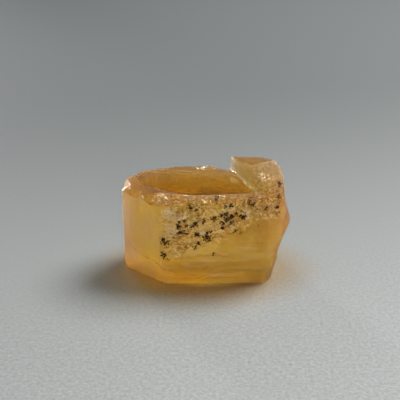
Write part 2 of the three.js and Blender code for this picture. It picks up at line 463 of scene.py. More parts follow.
# clumps of iron oxide in the etched crust: along x, up z, size, strength
oxideClumps = [
    (-5.2, 6.2, 0.3, 0.8), (-4.9, 5.7, 0.42, 1.0), (-4.5, 5.9, 0.32, 0.9), (-5.0, 4.1, 0.35, 0.9),
    (-4.6, 3.7, 0.35, 0.6), (-5.3, 4.6, 0.22, 0.7), (-3.2, 4.9, 0.3, 0.5), (-2.7, 5.3, 0.32, 0.7),
    (-2.0, 5.5, 0.26, 0.6), (-1.4, 5.3, 0.36, 0.9), (-0.9, 5.8, 0.34, 0.9), (-0.1, 6.4, 0.4, 1.0),
    (0.35, 6.2, 0.3, 0.9), (0.05, 7.0, 0.36, 1.0), (0.45, 7.3, 0.24, 0.8), (-1.1, 7.1, 0.36, 0.9),
    (-3.1, 7.2, 0.4, 1.2), (-2.5, 7.3, 0.36, 1.0), (-3.7, 6.7, 0.22, 0.6), (-3.3, 8.0, 0.34, 1.35),
    (-3.2, 8.6, 0.3, 1.2), (-2.6, 8.8, 0.34, 1.0), (-2.4, 8.1, 0.26, 0.9), (-1.7, 8.0, 0.3, 1.0),
    (-1.2, 8.4, 0.36, 1.0), (-0.7, 8.9, 0.32, 1.0), (-0.4, 8.6, 0.26, 0.8), (-1.8, 10.4, 0.4, 1.2),
    (-1.2, 10.2, 0.3, 1.0), (-0.9, 9.7, 0.24, 0.6), (-1.1, 10.8, 0.26, 0.6), (0.8, 9.2, 0.34, 1.0),
    (1.6, 9.4, 0.36, 1.0), (2.2, 9.7, 0.34, 0.9), (2.3, 9.0, 0.44, 1.3), (1.9, 8.6, 0.3, 1.0),
    (2.9, 9.3, 0.28, 0.9), (2.9, 8.6, 0.3, 1.0), (2.4, 8.1, 0.28, 0.9), (1.9, 7.8, 0.22, 0.7),
    (3.4, 9.7, 0.28, 0.9), (3.8, 10.1, 0.26, 0.8), (4.3, 10.4, 0.24, 0.7), (4.1, 9.3, 0.36, 1.0),
    (4.4, 9.8, 0.22, 0.7), (5.2, 10.9, 0.34, 1.0), (4.9, 11.2, 0.22, 0.8), (2.7, 10.8, 0.3, 0.9),
    (2.2, 10.7, 0.26, 0.8), (5.9, 10.2, 0.3, 0.7), (6.8, 10.3, 0.26, 0.6), (1.1, 11.3, 0.24, 0.7),
    (5.2, 11.7, 0.24, 0.6), (3.3, 7.4, 0.36, 0.5), (2.7, 7.0, 0.28, 0.4), (4.0, 7.1, 0.24, 0.4),
    (8.5, 12.2, 0.24, 1.0), (8.3, 11.1, 0.22, 0.8), (8.4, 10.5, 0.22, 0.8), (8.2, 10.0, 0.26, 0.9),
    (8.6, 9.3, 0.2, 0.7), (7.9, 12.9, 0.22, 0.7), (8.1, 12.6, 0.18, 0.6), (8.0, 9.0, 0.22, 0.5),
    (0.9, 4.2, 0.2, 0.6), (-7.6, 9.0, 0.12, 0.4), (7.9, 6.3, 0.16, 0.5), (6.1, 8.1, 0.18, 0.4),
]

# soft colour zones: centre, radii and strength
zones = {
    "haze": [  # greyish frosting
        ((-4.2, -4.6, 7.4), (0.9, 2.0, 1.3), 0.8),
        ((-3.2, -4.7, 9.4), (0.8, 2.0, 0.7), 0.9),
        ((2.2, -4.8, 9.0), (1.0, 2.0, 0.9), 0.9),
        ((6.6, -4.0, 10.3), (1.8, 2.0, 1.9), 0.7),
        ((6.4, -2.6, 12.2), (1.6, 1.6, 1.0), 0.7),
        ((4.3, 1.4, 11.9), (0.8, 3.2, 1.1), 0.3),
        ((7.6, -0.8, 12.6), (1.5, 2.0, 0.8), 0.6),
        ((-4.4, -4.4, 9.6), (0.9, 2.0, 1.2), 0.6),
        ((4.6, -4.6, 9.9), (1.4, 2.0, 0.7), 0.5),
        ((-6.4, -3.8, 7.0), (3.0, 2.6, 4.4), 0.34),
        ((-8.2, -2.6, 11.2), (1.4, 1.1, 0.5), 0.5),
    ],
    "moss": [  # yellow-green tinges between the clumps
        ((0.7, -4.4, 10.6), (1.8, 2.0, 0.6), 0.9),
        ((-1.7, -4.4, 10.3), (0.9, 2.0, 0.7), 0.8),
        ((-1.0, -4.6, 9.4), (0.8, 2.0, 0.6), 0.7),
        ((3.4, -4.6, 9.2), (0.8, 2.0, 0.4), 0.5),
    ],
    "dusk": [  # darkened round the thickest clumps
        ((-2.0, -4.6, 9.3), (1.5, 2.0, 1.1), 1.2),
        ((2.4, -4.8, 8.9), (1.2, 2.0, 0.8), 0.7),
        ((5.2, -4.2, 10.7), (1.5, 2.0, 0.8), 0.6),
        ((-4.7, -4.4, 5.8), (0.8, 2.0, 0.8), 0.5),
        ((8.4, -3.0, 11.2), (0.8, 1.5, 1.6), 0.5),
    ],
    "russet": [  # orange-brown stained
        ((2.8, -4.8, 7.1), (2.4, 2.0, 0.9), 0.8),
        ((-3.2, -4.0, 11.3), (1.0, 1.0, 0.4), 0.8),
        ((6.3, -4.4, 7.9), (2.0, 2.0, 0.9), 0.5),
        ((0.3, -4.6, 8.6), (0.9, 2.0, 0.5), 0.5),
    ],
    "blush": [  # pink and frosted, where the stone is thin or bruised; the patch on the near-left rim is a painted highlight
        ((-9.9, -0.6, 8.2), (1.6, 2.6, 4.2), 1.2),
        ((-9.4, -1.6, 3.2), (1.3, 2.0, 2.0), 0.7),
        ((8.4, -3.8, 2.4), (0.7, 2.4, 2.3), 0.15),
        ((-6.8, -3.0, 1.4), (2.8, 2.0, 1.4), 0.3),
        # a painted highlight on the near-left rim
        ((-5.2, -3.6, 11.4), (0.7, 0.7, 0.5), 1.0),
        ((-8.0, -2.7, 11.0), (1.5, 1.2, 0.6), 0.8),
    ],
    "deep": [  # the richest amber
        ((4.0, -4.8, 2.9), (3.4, 2.0, 0.6), 0.8),
        ((0.5, -4.9, 0.7), (6.5, 2.0, 0.8), 0.9),
        ((2.8, -4.9, 6.1), (2.2, 2.0, 0.7), 0.4),
        ((-0.6, 4.6, 11.4), (7.0, 0.8, 0.5), 1.0),
        ((8.4, -3.8, 2.0), (0.9, 2.4, 2.3), 0.8),
        ((-6.4, -2.9, 11.3), (0.9, 0.7, 0.5), 0.4),
    ],
    "glint": [  # painted highlights, where chips would catch the light
        ((6.6, -0.9, 12.6), (0.9, 0.9, 0.6), 1.0),
        ((7.0, -2.5, 12.1), (0.5, 0.5, 0.5), 0.7),
        ((-5.2, -3.4, 11.35), (0.55, 0.5, 0.4), 1.6),
        ((8.6, -3.1, 11.5), (0.25, 0.4, 0.3), 1.0),
    ],
    "amber": [  # darker, deeper amber in these places
        ((6.4, 0.0, 12.6), (2.8, 4.2, 1.4), 0.7),
        ((9.8, -1.2, 7.0), (1.5, 3.0, 2.4), 1.5),
        ((6.2, -4.4, 7.6), (4.0, 2.4, 3.4), 1.1),
        ((8.6, -3.2, 3.0), (0.9, 1.5, 2.8), 1.3),
        ((8.6, -2.4, 11.2), (1.4, 2.4, 1.8), 1.5),
        ((4.2, 1.0, 11.9), (1.3, 3.4, 1.1), 1.2),
        ((-9.9, -0.4, 11.3), (0.8, 1.3, 0.5), 1.0),
        ((3.8, -3.2, 11.3), (2.4, 1.0, 0.5), 0.9),
        ((-0.6, 4.6, 11.4), (7.0, 0.8, 0.5), 0.45),
    ],
}

# the smooth floor on top, as an outline seen from above
floorOutline = [
    (-8.5, 1.5), (-8.0, -0.7), (-6.8, -1.1), (-5.0, -2.3), (-3.2, -3.1), (-0.9, -3.4), (2.0, -3.2),
    (6.2, -2.5), (4.9, -0.7), (4.1, 1.3), (3.1, 2.5), (0.9, 2.4), (-2.1, 3.0), (-4.6, 3.3), (-7.1, 3.1),
]
floorEdge = {"fade": (-0.175, 0.175), "nearInset": 0.3, "above": 10.6}
stubTop = {"through": (5.9, 3.27, 13.2), "facing": (-0.1, 0.03, 1.0), "within": 0.16, "above": 12.6}
oxideArea = {"front": -3.1, "fade": 0.5, "stub": (7.2, 8.2), "stubDepth": 1.8, "spread": 1.15}


def insideDistance(x, y, outline):  # how far inside an outline each point lies, negative outside
    nearest = np.full(len(x), 1e9)
    crossings = np.zeros(len(x), bool)
    for (ax, ay), (bx, by) in zip(outline, outline[1:] + outline[:1]):
        squared = (bx - ax) ** 2 + (by - ay) ** 2
        along = np.clip(((x - ax) * (bx - ax) + (y - ay) * (by - ay)) / squared, 0, 1)
        nearest = np.minimum(nearest, np.hypot(x - ax - along * (bx - ax), y - ay - along * (by - ay)))
        straddles = (ay > y) != (by > y)
        crossings ^= straddles & (x < (bx - ax) * (y - ay) / ((by - ay) or 1e-9) + ax)
    return np.where(crossings, nearest, -nearest)


def windowMask(points):  # the smooth floor, and the stub's own top
    x, y, z = points.T
    inside = insideDistance(x, y, floorOutline) - floorEdge["nearInset"] * np.clip(-y, 0, 1)
    floor = fade(inside, *floorEdge["fade"]) * (z > floorEdge["above"])
    upward = np.array(stubTop["facing"]) / np.linalg.norm(stubTop["facing"])
    offPlane = np.abs((points - stubTop["through"]) @ upward)
    stub = fade(offPlane, stubTop["within"], stubTop["within"] / 2) * (z > stubTop["above"])
    return np.maximum(floor, stub)


def oxideMask(points):
    x, y, z = points.T
    limit = oxideArea["front"] + oxideArea["stubDepth"] * fade(x, *oxideArea["stub"])
    mask = np.zeros(len(x))
    for clumpX, clumpZ, size, strength in oxideClumps:
        away = ((x - clumpX) ** 2 + (z - clumpZ) ** 2) / (oxideArea["spread"] * size) ** 2
        mask = np.maximum(mask, strength * np.exp(-away))
    return mask * fade(y, limit, limit - oxideArea["fade"])


def storeMasks(mesh):
    points = readPoints(mesh)
    storeValues(mesh, "window", windowMask(points))
    storeValues(mesh, "oxide", oxideMask(points))
    for name, blobs in zones.items():
        mask = np.zeros(len(points))
        for centre, radii, strength in blobs:
            away = np.sum(((points - centre) / radii) ** 2, axis=1)
            mask = np.maximum(mask, strength * np.exp(-away))
        storeValues(mesh, name, mask)


# relief: what grew or broke on the surface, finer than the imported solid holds

relief = {
    "seed shift": (3.7, 1.9, 8.3),
    "rib depth": 0.05,
    "rib width": 0.55,
    "crust depth": 0.15,
    "crust grain": 0.42,
    "rim chip depth": 0.12,
    "rim chip size": 0.34,
    "ledge depth": 0.06,
    "ledge spacing": 0.6,
    "floor wave": 0.02,
    "stub facet": 1.5,
    "stub depth": 0.08,
}

# where each kind of relief starts and is full
reliefFades = {
    "upright": (0.6, 0.25),
    "level": (0.8, 0.95),
    "front": (-0.45, -0.85),
    "over crust edge": (-0.9, 0.7),
    "rim height": (10.5, 10.95),
    "rim front": (-2.6, -3.2),
    "rim off window": (0.95, 0.6),
    "rim from left": (-7.0, -5.0),
    "stub from left": (4.3, 5.2),
    "stub height": (11.0, 11.5),
    "stub not behind": (0.3, -0.1),
    "hard etched": (-0.22, 0.12),
    "base": (0.02, 0.5),
}


reliefShares = {
    "under crust": 0.6,
    "below crust": 0.85,
    "coarse grain": 2.3,
    "swell": 0.2,
    "stub chips": 0.5,
    "fine squeeze": (0.75, 1.0, 1.0),
    "coarse squeeze": (0.7, 1.0, 1.0),
    "stub squeeze": (1.0, 0.7, 0.7),
}


def flatChips(tree, point, size, depth, squeeze=(1.0, 1.0, 1.0)):  # each at its own tilt
    scaled = vector(tree, "SCALE", stretched(tree, point, squeeze), calc(tree, "DIVIDE", 1.0, size))
    cells = addNode(tree, "ShaderNodeTexVoronoi", {"Vector": scaled, "Scale": 1.0})
    away = vector(tree, "SUBTRACT", scaled, cells.outputs["Position"])
    tilt = vector(tree, "SUBTRACT", cells.outputs["Color"], (0.5, 0.5, 0.5))
    return product(tree, vector(tree, "DOT_PRODUCT", away, tilt), depth, 2.0)


def reliefAreas(tree, point, at, lean, window):  # where each kind of relief lies, 0 to 1
    def where(value, name):
        return ramp(tree, value, *reliefFades[name])

    wander = product(tree, lumps(tree, point, "crust edge"), crustArea["edgeWander"])
    edge = total(tree, product(tree, at["X"], crustArea["edgeSlope"]), crustArea["edgeAtMiddle"])
    edge = calc(tree, "MINIMUM", edge, crustArea["edgeTop"])
    overEdge = where(total(tree, calc(tree, "SUBTRACT", at["Z"], edge), wander), "over crust edge")
    fromLeft = ramp(tree, total(tree, at["X"], wander), *crustArea["left"])
    toRight = ramp(tree, at["X"], *crustArea["right"])
    front = where(lean["Y"], "front")
    nearRim = product(tree, where(at["Z"], "rim height"), where(at["Y"], "rim front"))
    nearRim = product(tree, nearRim, where(window, "rim off window"), where(at["X"], "rim from left"))
    stub = product(tree, where(at["X"], "stub from left"), where(at["Z"], "stub height"))
    stub = product(tree, stub, without(tree, window), where(lean["Y"], "stub not behind"))
    return {
        "crust": product(tree, front, overEdge, fromLeft, toRight),
        "belowCrust": product(tree, front, without(tree, overEdge)),
        "nearRim": nearRim,
        "stub": stub,
        "upright": where(calc(tree, "ABSOLUTE", lean["Z"]), "upright"),
        "level": where(lean["Z"], "level"),
        "aboveBase": where(at["Z"], "base"),
    }


def reliefHeight(tree, point, given, areas):
    def share(value, name):
        return product(tree, value, reliefShares[name])

    ribs = lumps(tree, point, "ribs", given["rib width"])
    ribs = product(tree, ribs, given["rib depth"], 2.0, areas["upright"])
    smoother = share(areas["crust"], "under crust")
    smoother = total(tree, smoother, share(areas["belowCrust"], "below crust"))
    ribs = product(tree, ribs, without(tree, smoother))

    hard = ramp(tree, lumps(tree, point, "hard etched"), *reliefFades["hard etched"])
    depth = given["crust depth"]
    crusty = flatChips(tree, point, given["crust grain"], depth, reliefShares["fine squeeze"])
    coarse = share(given["crust grain"], "coarse grain")
    coarse = flatChips(tree, point, coarse, depth, reliefShares["coarse squeeze"])
    swell = share(lumps(tree, point, "crust swell"), "swell")
    crusty = total(tree, product(tree, crusty, hard), coarse, swell)
    crusty = product(tree, crusty, areas["crust"])

    rimmed = flatChips(tree, point, given["rim chip size"], given["rim chip depth"])
    rimmed = product(tree, rimmed, greatest(tree, areas["nearRim"], share(areas["stub"], "stub chips")))

    ledges = lumps(tree, point, "ledges", given["ledge spacing"])
    ledges = product(tree, ledges, given["ledge depth"], 2.0, areas["belowCrust"])

    waves = lumps(tree, point, "floor swell")
    waves = product(tree, waves, given["floor wave"], 2.0, areas["level"])

    grooves = lumps(tree, point, "stub grooves")
    depth = given["stub depth"]
    knobbly = flatChips(tree, point, given["stub facet"], depth, reliefShares["stub squeeze"])
    knobbly = total(tree, knobbly, product(tree, grooves, depth, 2.0))
    knobbly = product(tree, knobbly, areas["stub"])

    height = total(tree, ribs, crusty, rimmed, ledges, waves, knobbly)
    return product(tree, height, areas["aboveBase"])


def reliefTree(material):
    tree = bpy.data.node_groups.new("stoneRelief", "GeometryNodeTree")
    addSocket = tree.interface.new_socket
    addSocket("Geometry", in_out="INPUT", socket_type="NodeSocketGeometry")
    for name, value in relief.items():
        kind = "NodeSocketVector" if isinstance(value, tuple) else "NodeSocketFloat"
        addSocket(name, in_out="INPUT", socket_type=kind).default_value = value
    addSocket("Geometry", in_out="OUTPUT", socket_type="NodeSocketGeometry")
    given = addNode(tree, "NodeGroupInput").outputs
    place = addNode(tree, "GeometryNodeInputPosition").outputs[0]
    facing = addNode(tree, "GeometryNodeInputNormal").outputs[0]
    window = addNode(tree, "GeometryNodeInputNamedAttribute", {"Name": "window"}, data_type="FLOAT")
    point = vector(tree, "ADD", place, given["seed shift"])
    areas = reliefAreas(tree, point, split(tree, place), split(tree, facing), window.outputs[0])
    height = reliefHeight(tree, point, given, areas)
    stored = {name: areas[name] for name in ("crust", "nearRim", "stub")}
    stored["raised"] = product(tree, height, 10.0)
    body = given["Geometry"]
    for name, field in stored.items():
        inputs = {"Geometry": body, "Name": name, "Value": field}
        body = addNode(tree, "GeometryNodeStoreNamedAttribute", inputs, data_type="FLOAT", domain="POINT")
        body = body.outputs[0]
    moved = {"Geometry": body, "Offset": vector(tree, "SCALE", facing, height)}
    body = addNode(tree, "GeometryNodeSetPosition", moved).outputs[0]
    body = addNode(tree, "GeometryNodeRealizeInstances", {0: body}).outputs[0]
    body = addNode(tree, "GeometryNodeSetMaterial", {"Geometry": body, "Material": material}).outputs[0]
    plug(tree, body, addNode(tree, "NodeGroupOutput").inputs[0])
    return tree


# finish of the stone

finish = {
    "honey": (0.995, 0.95, 0.84, 1.0),
    "haze": (0.74, 0.68, 0.60, 1.0),
    "crusted": (0.84, 0.72, 0.54, 1.0),
    "rust": (0.66, 0.42, 0.18, 1.0),
    "rim": (0.66, 0.44, 0.20, 1.0),
    "moss": (0.66, 0.60, 0.16, 1.0),
    "dusk": (0.25, 0.19, 0.15, 1.0),
    "russet": (0.72, 0.42, 0.18, 1.0),
    # painted glints
    "spark": (1.0, 0.80, 0.50, 1.0),
    "amber": (0.52, 0.32, 0.13, 1.0),
    "blush": (1.0, 0.89, 0.78, 1.0),
    "deep": (1.0, 0.84, 0.50, 1.0),
    # pale marks with painted highlight on raised grain; below, grain with painted shade in the pits
    "pale grain": (1.0, 0.91, 0.70, 1.0),
    # painted highlight and painted shade along the growth steps
    "golden line": (1.0, 0.88, 0.58, 1.0),
    "amber line": (0.80, 0.50, 0.18, 1.0),
    "dark grain": (0.33, 0.21, 0.10, 1.0),
    "stain": (0.28, 0.12, 0.045, 1.0),
    "oxide": (0.012, 0.006, 0.004, 1.0),
    "honey clear": 1.0,
    "haze clear": 0.4,
    "blush clear": 0.58,
    "amber clear": 0.95,
    "pale clear": 0.4,
    "base clear": 0.97,
    "top cleared": 0.96,  # how far the upward faces go to the next value
    "top clear": 1.0,
    "sparkle clear": 0.05,
    "frost roughness": 0.55,
    "back roughness": 1.0,
    "haze roughness": 0.8,
    "glass roughness": 0.13,
    "crust roughness": 0.6,
    "broken roughness": 1.0,
    "rim roughness": 0.22,
    "stain roughness": 1.0,
    "oxide row climb": 0.52,
    "bend": 1.62,
    "gleam": (1.0, 0.85, 0.6, 1.0),
    "gloss roughness": 0.16,
    "crust gloss": 0.9,
    "frost gloss": 0.06,
    "absorb colour": (0.996, 0.86, 0.0, 1.0),
    "absorb density": 320.0,
}

# where each effect of the finish starts and is full
finishFades = {
    "glassy": (0.8, 0.95),
    "base": (-0.8, -0.95),
    "front": (-0.5, -0.85),
    "upward": (0.15, 0.7),
    "upright": (0.7, 0.4),
    "behind or below": (-0.1, 0.4),
    "not on top": (0.8, 0.5),
    "bare of oxide": (0.16, 0.03),
    "stain": (0.17, 0.27),
    "oxide": (0.258, 0.30),
    "light grain": (0.04, 0.12),
    "dark grain": (-0.04, -0.12),
    "low": (6.5, 4.0),
    "low places": (-0.2, 0.15),
    "pale band": (0.03, 0.14),
    "deep band": (-0.03, -0.14),
    "cloudy": (-0.06, 0.26),
    "prick": (0.19, 0.25),
    "lip": (-0.22, 0.1),
    "striae": (0.05, 0.2),
    "striae places": (-0.12, 0.1),
    "haze": (0.05, 0.4),
    "rust": (0.0, 0.13),
    "spark height": (8.5, 11.0),
    "towards stub": (0.5, 3.5),
    "sparkle": (0.182, 0.222),
    "polished": (0.1, 0.15),
}

# how strongly each effect counts
weights = {
    "stub broken": 0.8,
    "oxide specks": 1.7,
    "oxide clump": 0.40,
    "bare of oxide": 0.5,
    "raised grain": 0.12,
    "edge wear": 0.75,
    "worn edge": 0.7,
    "pale band": 0.5,
    "prick": 0.8,
    "lip": 0.8,
    "striae": 0.45,
    "haze clouds": 1.2,
    "crust haze": 0.2,
    "cloud haze": 0.14,
    "drift": 1.6,
    "deep band": 0.7,
    "amber stain": 0.8,
    "rust": 0.9,
    "crusted": 0.7,
    "rim": 0.95,
    "patches": 2.2,
    "patch cover": 0.7,
    "spark swarms": 0.3,
    "spark height": 0.06,
    "spark glint": 0.09,
    "rim sparks": (0.02, -0.03),  # fewer towards the stub
    "sparkle": 0.8,
    "clear lip": 0.6,
    "frost bump": 0.06,
    "etched bump": 0.35,
    "bump": 0.6,
}


def mixValue(tree, factor, a, b):
    return addNode(tree, "ShaderNodeMix", {0: factor, 2: a, 3: b}, data_type="FLOAT").outputs[0]


def mixColour(tree, factor, a, b):
    return addNode(tree, "ShaderNodeMix", {0: factor, 6: a, 7: b}, data_type="RGBA").outputs[2]


def within(tree, value, name):
    return ramp(tree, value, *finishFades[name])


def mottled(tree, point, name):
    return within(tree, lumps(tree, point, name), name)


def weighed(tree, value, name):
    return product(tree, value, weights[name])


def readSurface(tree):  # the stored masks, the place in millimetres and the way it faces
    stored = ["window", "oxide", "crust", "nearRim", "stub", "raised", "ridge", "lip", *zones]
    on = {}
    for name in stored:
        on[name] = addNode(tree, "ShaderNodeAttribute", attribute_name=name).outputs["Fac"]
    here = addNode(tree, "ShaderNodeTexCoord").outputs["Object"]
    on["point"] = stretched(tree, here, (1 / mm, 1 / mm, 1 / mm))
    on["place"] = split(tree, on["point"])
    on["lean"] = split(tree, addNode(tree, "ShaderNodeNewGeometry").outputs["Normal"])
    on["tilt"] = calc(tree, "ABSOLUTE", on["lean"]["Z"])
    on["glassy"] = product(tree, on["window"], within(tree, on["tilt"], "glassy"))
    on["frosted"] = without(tree, on["glassy"])
    on["broken"] = greatest(tree, on["crust"], on["nearRim"], weighed(tree, on["stub"], "stub broken"))
    on["unbroken"] = without(tree, on["broken"])
    on["base"] = within(tree, on["lean"]["Z"], "base")
    on["upward"] = within(tree, on["lean"]["Z"], "upward")
    on["clouds"] = lumps(tree, on["point"], "clouds")
    on["grains"] = lumps(tree, on["point"], "crust grains")
    return on


def addOxide(tree, on):  # ragged specks where the clumps lie, drawn out along the climbing rows
    turned = {"Vector": on["point"], "Angle": finish["oxide row climb"]}
    along = addNode(tree, "ShaderNodeVectorRotate", turned, rotation_type="Y_AXIS").outputs[0]
    specks = weighed(tree, lumps(tree, along, "oxide specks"), "oxide specks")
    ragged = total(tree, specks, lumps(tree, along, "oxide swarms"))
    ragged = total(tree, ragged, weighed(tree, on["oxide"], "oxide clump"))
    bare = weighed(tree, within(tree, on["oxide"], "bare of oxide"), "bare of oxide")
    ragged = calc(tree, "SUBTRACT", ragged, bare)
    on["stained"] = within(tree, ragged, "stain")
    on["black"] = within(tree, ragged, "oxide")


def addGrains(tree, on):  # random grain, with painted highlight on what stands up and painted shade in the pits
    stands = total(tree, on["grains"], weighed(tree, on["raised"], "raised grain"))
    on["lightGrain"] = product(tree, within(tree, stands, "light grain"), on["broken"])
    on["darkGrain"] = product(tree, within(tree, stands, "dark grain"), on["broken"])


def addBands(tree, on):  # bands, worn edges, growth lines and pricks
    point, clouds = on["point"], on["clouds"]
    front = within(tree, on["lean"]["Y"], "front")
    low = product(tree, front, within(tree, on["place"]["Z"], "low"), on["unbroken"])
    low = product(tree, low, mottled(tree, point, "low places"))
    bands = lumps(tree, point, "low bands")
    paleBand = product(tree, within(tree, bands, "pale band"), low)
    on["deepBand"] = product(tree, within(tree, bands, "deep band"), low)

    on["notAmber"] = without(tree, weighed(tree, on["amber"], "amber stain"))
    worn = product(tree, on["ridge"], total(tree, weights["edge wear"], clouds))
    worn = product(tree, worn, without(tree, on["nearRim"]), on["notAmber"])

    lip = product(tree, on["lip"], mottled(tree, point, "lip"))
    striae = product(tree, mottled(tree, point, "striae"), within(tree, on["tilt"], "upright"))
    striae = product(tree, striae, within(tree, clouds, "striae places"))
    # painted highlight along the growth steps, with the lighter striae; painted shade below the steps
    on["lipLight"] = greatest(tree, weighed(tree, lip, "lip"), weighed(tree, striae, "striae"))
    on["lipShade"] = greatest(tree, product(tree, lip, -1.0), 0.0)

    prick = weighed(tree, product(tree, mottled(tree, point, "prick"), on["frosted"]), "prick")
    pale = greatest(tree, weighed(tree, paleBand, "pale band"), weighed(tree, worn, "worn edge"))
    # pale bands, worn edges and pricks, with the painted highlight on raised grain
    on["pale"] = product(tree, greatest(tree, pale, prick, on["lightGrain"]), on["frosted"])


def addTints(tree, on):  # haze, blush, amber and the other soft colours
    clouds = on["clouds"]
    cloudy = product(tree, within(tree, clouds, "cloudy"), on["frosted"])
    haze = calc(tree, "ADD", on["haze"], weighed(tree, clouds, "haze clouds"), clamp=True)
    haze = product(tree, haze, within(tree, on["haze"], "haze"))
    haze = greatest(tree, haze, weighed(tree, on["broken"], "crust haze"))
    haze = greatest(tree, haze, weighed(tree, cloudy, "cloud haze"))
    on["hazy"] = product(tree, haze, on["frosted"])
    drift = weighed(tree, clouds, "drift")
    drifting = calc(tree, "ADD", drift, 1.0, clamp=True)
    on["blushing"] = product(tree, on["blush"], drifting, on["notAmber"])
    deepBand = weighed(tree, on["deepBand"], "deep band")
    on["richest"] = greatest(tree, product(tree, on["deep"], drifting), deepBand)
    amber = product(tree, on["amber"], total(tree, drift, 1.0))
    on["ambered"] = calc(tree, "MINIMUM", greatest(tree, amber, 0.0), 1.0)


def addSparks(tree, on):  # painted glints: cream specks standing in for tiny cleavage faces that catch the light
    point = on["point"]
    swarms = weighed(tree, lumps(tree, point, "spark swarms"), "spark swarms")
    high = weighed(tree, within(tree, on["place"]["Z"], "spark height"), "spark height")
    sparks = total(tree, lumps(tree, point, "sparks"), swarms, high)
    sparks = total(tree, sparks, weighed(tree, on["glint"], "spark glint"))
    onRim = mixValue(tree, within(tree, on["place"]["X"], "towards stub"), *weights["rim sparks"])
    sparks = total(tree, sparks, product(tree, on["nearRim"], onRim))
    sparks = product(tree, within(tree, sparks, "sparkle"), greatest(tree, on["broken"], on["glint"]))
    on["sparkle"] = weighed(tree, sparks, "sparkle")


def layered(tree, mix, made, layers, ending=""):  # each cover lays its own value over what is there
    for name, cover in layers.items():
        made = mix(tree, cover, made, finish[name + ending])
    return made


def stoneColour(tree, on):
    point = on["point"]
    patches = weighed(tree, lumps(tree, point, "patches"), "patches")
    patches = calc(tree, "ADD", patches, weights["patch cover"], clamp=True)
    layers = {
        "crusted": weighed(tree, on["broken"], "crusted"),
        "rust": weighed(tree, product(tree, mottled(tree, point, "rust"), on["broken"]), "rust"),
        "haze": on["hazy"],
        "rim": weighed(tree, on["nearRim"], "rim"),
        "moss": product(tree, on["moss"], patches),
        "dusk": product(tree, on["dusk"], patches),
        "russet": product(tree, on["russet"], patches),
        "blush": on["blushing"],
        "deep": on["richest"],
        "amber": on["ambered"],
        "amber line": on["lipShade"],
        "golden line": on["lipLight"],
        "pale grain": on["pale"],
        "dark grain": on["darkGrain"],
        "spark": on["sparkle"],
        "stain": on["stained"],
        "oxide": on["black"],
    }
    return layered(tree, mixColour, finish["honey"], layers)


def stoneRoughness(tree, on):
    below = calc(tree, "SUBTRACT", 0.0, on["lean"]["Z"])
    away = within(tree, greatest(tree, on["lean"]["Y"], below), "behind or below")
    away = product(tree, away, within(tree, on["lean"]["Z"], "not on top"))
    smoothTop = product(tree, on["upward"], on["unbroken"], on["frosted"])
    smoothTop = product(tree, smoothTop, without(tree, greatest(tree, on["stub"], on["blushing"])))
    layers = {
        "back": away,
        "glass": on["glassy"],
        "crust": on["broken"],
        "haze": greatest(tree, on["hazy"], on["blushing"]),
        "rim": smoothTop,
        "broken": greatest(tree, on["nearRim"], on["stub"]),
        "stain": on["stained"],
    }
    return layered(tree, mixValue, finish["frost roughness"], layers, " roughness")


def stoneClearness(tree, on):
    layers = {
        "haze": on["hazy"],
        "blush": on["blushing"],
        "amber": on["ambered"],
        "pale": greatest(tree, on["pale"], weighed(tree, on["lipLight"], "clear lip")),
        "base": on["base"],
        "top": product(tree, on["upward"], finish["top cleared"]),
        "sparkle": on["sparkle"],
    }
    clear = layered(tree, mixValue, finish["honey clear"], layers, " clear")
    return product(tree, clear, without(tree, on["black"]))


def stoneGloss(tree, on):
    polished = product(tree, on["broken"], mottled(tree, on["point"], "polished"))
    gloss = mixValue(tree, polished, finish["frost gloss"], finish["crust gloss"])
    return product(tree, gloss, on["frosted"], without(tree, on["stained"]))


def stoneBump(tree, on):
    fine = product(tree, lumps(tree, on["point"], "frosting"), on["frosted"])
    etched = product(tree, on["grains"], on["broken"])
    height = total(tree, weighed(tree, fine, "frost bump"), weighed(tree, etched, "etched bump"))
    inputs = {"Strength": weights["bump"], "Distance": mm, "Height": height}
    return addNode(tree, "ShaderNodeBump", inputs).outputs[0]


def stoneMaterial():
    made = bpy.data.materials.new("cloudyTopaz")
    made.use_nodes = True
    tree = made.node_tree
    tree.nodes.clear()
    on = readSurface(tree)
    for addMasks in (addOxide, addGrains, addBands, addTints, addSparks):
        addMasks(tree, on)
    bump = stoneBump(tree, on)
    shader = {
        "Base Color": stoneColour(tree, on),
        "Roughness": stoneRoughness(tree, on),
        "IOR": finish["bend"],
        "Transmission Weight": stoneClearness(tree, on),
        "Specular Tint": finish["gleam"],
        "Coat Weight": stoneGloss(tree, on),
        "Coat Roughness": finish["gloss roughness"],
        "Coat IOR": finish["bend"],
        "Normal": bump,
        "Coat Normal": bump,
    }
    depth = {"Color": finish["absorb colour"], "Density": finish["absorb density"]}
    ends = {
        "Surface": addNode(tree, "ShaderNodeBsdfPrincipled", shader).outputs[0],
        "Volume": addNode(tree, "ShaderNodeVolumeAbsorption", depth).outputs[0],
    }
    addNode(tree, "ShaderNodeOutputMaterial", ends)
    return made


def makeStone():
    mesh = remeshedStone()
    meltFacets(mesh)
    softenCreases(mesh)
    easeFarRim(mesh)
    storeRidges(mesh)
    print("remeshed the stone:", len(mesh.polygons), "faces")
    refineFront(mesh)
    raiseSteps(mesh)
    breakEdges(mesh)
    print("chipped its edges:", sum(len(face.vertices) - 2 for face in mesh.polygons), "triangles")
    storeMasks(mesh)
    piece = newObject("crystal", mesh)
    growth = piece.modifiers.new("relief", "NODES")
    growth.node_group = reliefTree(stoneMaterial())
    for item in growth.node_group.interface.items_tree:
        if item.in_out == "INPUT" and item.name in relief:
            growth[item.identifier] = relief[item.name]
    made = evaluatedMesh(piece)
    piece.modifiers.clear()
    piece.data = made
    made.transform(Matrix.Scale(mm, 4))
    made.polygons.foreach_set("use_smooth", [True] * len(made.polygons))
    made.update()
    print("raised the relief")
    return piece


# floor, light and camera

